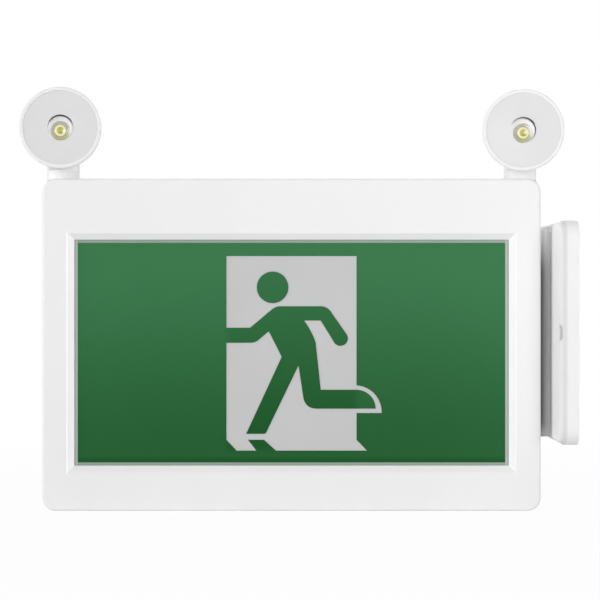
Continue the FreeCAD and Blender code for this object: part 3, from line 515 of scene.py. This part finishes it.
def threaded(radius, length, pitch, depth):
    """A shank down -Z whose radius winds in and out as a screw thread does."""
    rod = Field.node(
        "GeometryNodeMeshCylinder",
        None,
        {"Vertices": 20, "Side Segments": 150, "Radius": radius, "Depth": length},
        "Mesh",
    )
    spot = Field.node("GeometryNodeInputPosition")
    angle = Field.maths("ARCTAN2", spot.part("Y"), spot.part("X"))
    wave = Field.maths("SINE", spot.part("Z") / pitch * math.tau - angle)
    shrink = 1.0 - (wave * 0.5 + 0.5) * (depth / radius)
    narrow = Field.vector(spot.part("X") * shrink, spot.part("Y") * shrink, spot.part("Z"))
    wound = Field.node("GeometryNodeSetPosition", None, {"Geometry": rod, "Position": narrow})
    return moved(wound, Field.vector(0.0, 0.0, length * -0.5))


def housing_fixings(radius, height, rise, arm, slit, shank, length, pitch, depth, wide, tall):
    """Four threaded screws on the corners of a rectangle."""
    head = crossed_head(radius, height, rise, arm, slit)
    one = join(head, threaded(shank, length, pitch, depth))
    corners = Field.node(
        "GeometryNodeMeshGrid",
        None,
        {"Size X": wide, "Size Y": tall, "Vertices X": 2, "Vertices Y": 2},
    )
    return Field.node("GeometryNodeInstanceOnPoints", None, {"Points": corners, "Instance": one})


def fit_housing_screws(radius=0.003, head=0.0016, crown=0.0006, spare=0.0001):
    """Fills the box of the plain screws, with the heads towards the back."""
    low, high = (Vector(corner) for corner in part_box("housing_screws"))
    middle = (low + high) / 2
    screws = grown(
        "housing_fixings",
        {
            "Head radius": radius,
            "Head height": head,
            "Crown": crown,
            "Recess length": 0.0031,
            "Recess width": 0.0008,
            "Shank radius": 0.00138,
            "Shank length": (high.y - low.y) - (head + crown + spare),
            "Thread pitch": 0.0014,
            "Thread depth": 0.00028,
            "Spacing across": (high.x - low.x) - 2 * radius,
            "Spacing up": (high.z - low.z) - 2 * radius,
        },
        housing_fixings,
        "screw_zinc",
        "sign",
        Matrix.Translation((middle.x, high.y - (head + crown), middle.z))
        @ Matrix.Rotation(-math.pi / 2, 4, "X"),
    )
    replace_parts(screws, "housing_screws")


fit_housing_screws()

# How far each head is panned and tilted at rest.
pan = {"left": math.radians(4.0), "right": math.radians(-2.9)}
tilt = {"left": 0.0, "right": math.radians(4.0)}


def swivel_seat(side):
    """The turned place of a neck's own pieces, at the middle of its pin."""
    middle = Vector(middle_of(side + "_tilt_pin"))
    return Matrix.Translation(middle) @ Matrix.Rotation(pan[side], 4, "Z")


def head_seat(side):
    """The turned place of a head's own pieces, with its face towards -Y."""
    return swivel_seat(side) @ Matrix.Rotation(tilt[side], 4, "X")


def two_headed(radius, height, rise, arm, slit, shank, span):
    """A plain pin between two crowned heads with crossed recesses."""
    head = moved(
        crossed_head(radius, height, rise, arm, slit), Field.vector(0.0, 0.0, span * 0.5)
    )
    other = moved(head, None, (0.0, math.pi, 0.0))
    rod = Field.node(
        "GeometryNodeMeshCylinder", None, {"Vertices": 32, "Radius": shank, "Depth": span * 1.02}
    )
    return join(head, other, rod)


def fit_pin(side):
    """The pin through the ears and the lug of one head."""
    pin = grown(
        side + "_pin",
        {
            "Head radius": 0.0038,
            "Head height": 0.0010,
            "Crown": 0.0006,
            "Recess length": 0.0038,
            "Recess width": 0.0009,
            "Pin radius": 0.002,
            "Span": 0.0196,
        },
        two_headed,
        "screw_zinc",
        side + "_lamp_head",
        swivel_seat(side) @ Matrix.Rotation(math.pi / 2, 4, "Y"),
    )
    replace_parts(pin, side + "_tilt_pin")


for side in sides:
    fit_pin(side)


def spin(form, outline, low=0.0, right=0.0, turns=56):
    """Turns (radius, forward) pairs about an axis beside and below the head's own."""
    rings = []
    for radius, forward in outline:
        if radius == 0.0:
            rings.append([form.verts.new((right, -forward, -low))] * turns)
            continue
        ring = []
        for turn in range(turns):
            angle = math.tau * turn / turns
            across, up = right + radius * math.cos(angle), radius * math.sin(angle)
            ring.append(form.verts.new((across, -forward, up - low)))
        rings.append(ring)
    for near, far in zip(rings, rings[1:]):
        for turn in range(turns):
            corners = [near[turn], near[turn - 1], far[turn - 1], far[turn]]
            form.faces.new(list(dict.fromkeys(corners)))
    bmesh.ops.recalc_face_normals(form, faces=form.faces)


def finished(form, name, material, stand, marked=False):
    """Makes a mesh in millimetres from the form and stands it in its place in metres.

    A marked mesh remembers each point's own place, for a finish drawn about its middle.
    """
    mesh = bpy.data.meshes.new(name)
    form.to_mesh(mesh)
    form.free()
    if marked:
        own_place = mesh.attributes.new("lamp_place", "FLOAT_VECTOR", "POINT")
        own_place.data.foreach_set("vector", [v for vertex in mesh.vertices for v in vertex.co])
    mesh.transform(stand @ Matrix.Scale(0.001, 4))
    smoothed(mesh)
    mesh.materials.append(material)
    return mesh


# Where the lamp's foot stands, in millimetres ahead of and below the head's axis.
lamp_stand = 22.2
lamp_low = 1.8
# The holder's middle, below and to the right of that axis.
holder_low = 0.5
holder_right = {"left": -0.1, "right": -0.45}


def lamp_unit(side, radius=6.5, foot=0.8, cup=4.3, rise=1.7):
    """A flat body with a softened edge and a clear crown over the cup."""
    outline = [(0.0, 0.0), (radius, 0.0), (radius, foot - 0.3), (radius - 0.1, foot - 0.08)]
    outline += [(radius - 0.32, foot), (cup + 0.5, foot), (cup + 0.3, foot + 0.03)]
    for step in range(12):
        angle = math.radians(7.5 * step)
        outline.append((cup * math.cos(angle), foot + 0.12 + (rise - 0.12) * math.sin(angle)))
    outline.append((0.0, foot + rise))
    form = bmesh.new()
    spin(form, outline)
    stand = head_seat(side) @ Matrix.Translation((0.0, -lamp_stand / 1000, -lamp_low / 1000))
    name = side + "_lamp_unit"
    mesh = finished(form, name, finishes["lamp_yellow"], stand, marked=True)
    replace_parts(linked(name, mesh, side + "_lamp_head"), side + "_lamp")


def lamp_holder(side, radius=8.7, board=10.5, thick=1.6, soft=0.3):
    """The lamp's board with the pale round holder that brings the lamp up to the eye."""
    middle = head_seat(side).inverted() @ Vector(middle_of(side + "_lamp_board"))
    back = -middle.y * 1000 - thick / 2
    front = back + thick
    face = lamp_stand
    inner = soft * 0.3
    corner = [(radius, face - soft), (radius - inner, face - inner), (radius - soft, face)]
    tower = [(0.0, front), (radius, front), *corner, (0.0, face)]
    form = bmesh.new()
    spin(form, [(0.0, back), (board, back), (board, front), (0.0, front)])
    spin(form, tower, holder_low, holder_right[side])
    name = side + "_lamp_holder"
    mesh = finished(form, name, finishes["lamp_board_white"], head_seat(side))
    piece = linked(name, mesh, side + "_lamp_head")
    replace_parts(piece, side + "_lamp_board")


for side in sides:
    lamp_unit(side)
    lamp_holder(side)


def release_catch(shoulder=4.6, sunk=0.9, thick=0.9, height=10.6, tail=1.6):
    """The curved catch behind the canopy's release slot, just under its shoulder."""
    low = Vector(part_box("canopy_cover")[0]) * 1000
    level = middle_of("canopy_cover")[2] * 1000
    stations = [(0.0, tail)] + [(math.radians(degrees), 0.0) for degrees in range(0, 90, 9)]
    form = bmesh.new()
    rows = []
    for angle, back in stations:
        row = []
        for up in (-height / 2, height / 2):
            for reach in (shoulder - sunk, shoulder - sunk - thick):
                x = low.x + shoulder - reach * math.cos(angle)
                y = low.y + shoulder - reach * math.sin(angle) + back
                row.append(form.verts.new((x, y, level + up)))
        rows.append(row)
    for near, far in zip(rows, rows[1:]):
        for first, second in ((0, 1), (1, 3), (3, 2), (2, 0)):
            form.faces.new([near[first], near[second], far[second], far[first]])
    for row in (rows[0], rows[-1]):
        form.faces.new([row[0], row[1], row[3], row[2]])
    bmesh.ops.recalc_face_normals(form, faces=form.faces)
    # The catch's grey stands in for the shade inside the release slot.
    grey = finish_of("catch grey", moulded((0.60, 0.60, 0.605)))
    mesh = finished(form, "release_catch", grey, Matrix())
    linked("release_catch", mesh, "sign")


release_catch()


def rib_rows(count, pitch, width, height, gap):
    """Two rows of upright ribs, on the front and the back of the spacer."""
    rib = Field.node(
        "GeometryNodeMeshCylinder", None, {"Vertices": 12, "Radius": width * 0.5, "Depth": height}
    )
    row = Field.node(
        "GeometryNodeMeshLine", None, {"Count": count, "Offset": Field.vector(pitch, 0.0, 0.0)}
    )
    start = Field.vector(pitch * (count - 1.0) * -0.5, gap * -0.5, 0.0)
    stood = Field.node("GeometryNodeInstanceOnPoints", None, {"Points": row, "Instance": rib})
    front = moved(stood, start)
    return join(front, moved(front, Field.vector(0.0, gap, 0.0)))


def fit_ribs(short=0.008):
    """The ribs of the spacer, a little shorter than the spacer itself."""
    low, high = (Vector(corner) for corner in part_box("canopy_collar"))
    grown(
        "spacer_ribs",
        {
            "Count": 5,
            "Pitch": 0.00155,
            "Rib width": 0.0008,
            "Rib height": (high.z - low.z) - short,
            "Row gap": (high.y - low.y),
        },
        rib_rows,
        "spacer_grey",
        "sign",
        Matrix.Translation((low + high) / 2),
    )


fit_ribs()


# The studio: white all round, with soft lamps in front, at both sides, above and behind.
def seen_directly():
    """One for rays from the camera, a mirror or a glass, none for rays that only light."""
    path = Field.raw("ShaderNodeLightPath")
    camera, glossy, through = (
        Field(path.outputs[f"Is {kind} Ray"]) for kind in ("Camera", "Glossy", "Transmission")
    )
    return Field.maths("MAXIMUM", camera, Field.maths("MAXIMUM", glossy, through))


def emptied_tree(owner):
    """Clears the owner's nodes and makes its tree the one that is being built."""
    owner.use_nodes = True
    owner.node_tree.nodes.clear()
    Field.tree = owner.node_tree


def white_surround(fill=0.46):
    """White where it is seen, and dimmer as a light."""
    world = bpy.data.worlds.new("studio")
    bpy.context.scene.world = world
    emptied_tree(world)
    strength = fill + seen_directly() * (1.0 - fill)
    back = Field.node(
        "ShaderNodeBackground", None, {"Color": (1.0, 1.0, 1.0, 1.0), "Strength": strength}
    )
    Field.raw("ShaderNodeOutputWorld", None, {"Surface": back})


def pale_floor(reach=6.0):
    """A matt floor that keeps a trace of the shadow close to the sign and is white further off."""
    corners = [(-reach, -reach, 0), (reach, -reach, 0), (reach, reach, 0), (-reach, reach, 0)]
    mesh = bpy.data.meshes.new("floor")
    mesh.from_pydata(corners, [], [(0, 1, 2, 3)])
    floor = bpy.data.objects.new("floor", mesh)
    bpy.context.scene.collection.objects.link(floor)
    material = bpy.data.materials.new("floor")
    emptied_tree(material)
    matt = Field.node("ShaderNodeBsdfDiffuse", None, {"Color": (0.92, 0.92, 0.92, 1.0)})
    glow = Field.node("ShaderNodeEmission", None, {"Color": (1.0, 1.0, 1.0, 1.0), "Strength": 1.0})
    at = place()
    lit = seen_directly() * distance(at.part("X"), at.part("Y")).step(0.15, 0.7, 0.95, 1.0)
    shown = Field.node("ShaderNodeMixShader", None, {0: lit, 1: matt, 2: glow})
    Field.raw("ShaderNodeOutputMaterial", None, {"Surface": shown})
    mesh.materials.append(material)


def softbox(name, at, towards, size, watts):
    """A square-cornered area lamp turned towards a point."""
    light = bpy.data.lights.new(name, "AREA")
    light.shape = "RECTANGLE"
    light.size, light.size_y = size
    light.energy = watts
    lamp = bpy.data.objects.new(name, light)
    lamp.location = at
    lamp.rotation_euler = (Vector(towards) - Vector(at)).to_track_quat("-Z", "Y").to_euler()
    bpy.context.scene.collection.objects.link(lamp)


white_surround()
pale_floor()
softbox("front_light", (-0.1, -1.8, 0.22), (0.0, 0.0, 0.14), (1.8, 1.0), 2.6)
softbox("top_light", (0.0, -0.3, 1.5), (0.0, 0.0, 0.1), (1.4, 1.0), 1.5)
softbox("left_light", (-2.6, -0.9, 0.35), (0.0, 0.0, 0.14), (1.2, 1.0), 31.0)
softbox("right_light", (0.78, -1.75, 0.3), (0.0, 0.0, 0.14), (0.9, 0.8), 13.6)
softbox("back_light", (0.0, 1.8, 0.9), (0.0, 0.0, 0.12), (1.6, 0.8), 8.0)

camera_data = bpy.data.cameras.new("camera")
camera_data.sensor_width = 36.0
camera_data.lens = 89.85
camera = bpy.data.objects.new("camera", camera_data)
camera.location = (0.0058, -1.046, 0.1438)
camera.rotation_euler = (math.pi / 2, 0.0, 0.0)
bpy.context.scene.collection.objects.link(camera)
bpy.context.scene.camera = camera
bpy.context.scene.view_settings.view_transform = "Standard"
